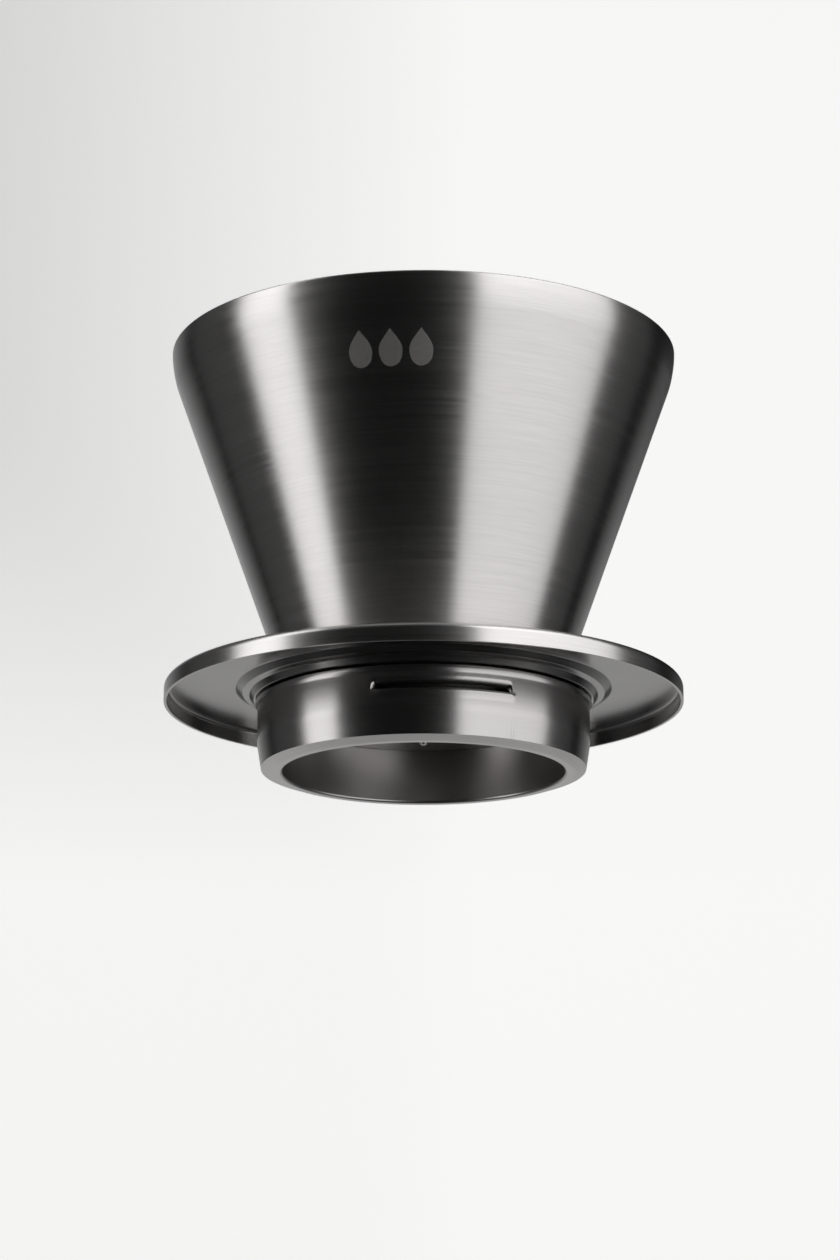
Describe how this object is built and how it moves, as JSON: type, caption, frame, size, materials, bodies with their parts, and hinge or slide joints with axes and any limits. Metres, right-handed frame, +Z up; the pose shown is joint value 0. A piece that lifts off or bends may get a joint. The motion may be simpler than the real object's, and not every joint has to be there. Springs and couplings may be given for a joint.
{
  "type": "pour over coffee dripper",
  "caption": "Double walled steel cone dripper with a flat drilled floor, a flat saucer with a turned down lip, and a short hollow neck with a vent slot.",
  "frame": {"origin": "centre of the neck's bottom ring, at its lowest point", "axes": "+Z up along the axis of the cup, -Y towards the front, where the vent slot is, +X to the right seen from the front"},
  "size_m": [0.111, 0.111, 0.0935],
  "materials": {
    "shell_steel": "brushed round the cone, fine grain",
    "liner_steel": "smooth bright, lightly brushed round",
    "saucer_steel": "brushed lip, satin underside",
    "neck_steel": "brushed round the neck, fine grain",
    "sleeve_steel": "satin ring, softly brushed bore",
    "plate_steel": "satin",
    "tip_steel": "turned, bright"
  },
  "bodies": {
    "root": {"outer_shell": "shell_steel", "inner_liner": "liner_steel", "saucer": "saucer_steel", "neck_skirt": "neck_steel", "neck_sleeve": "sleeve_steel", "drain_plate": "plate_steel", "drip_tip": "tip_steel"}
  },
  "joints": []
}
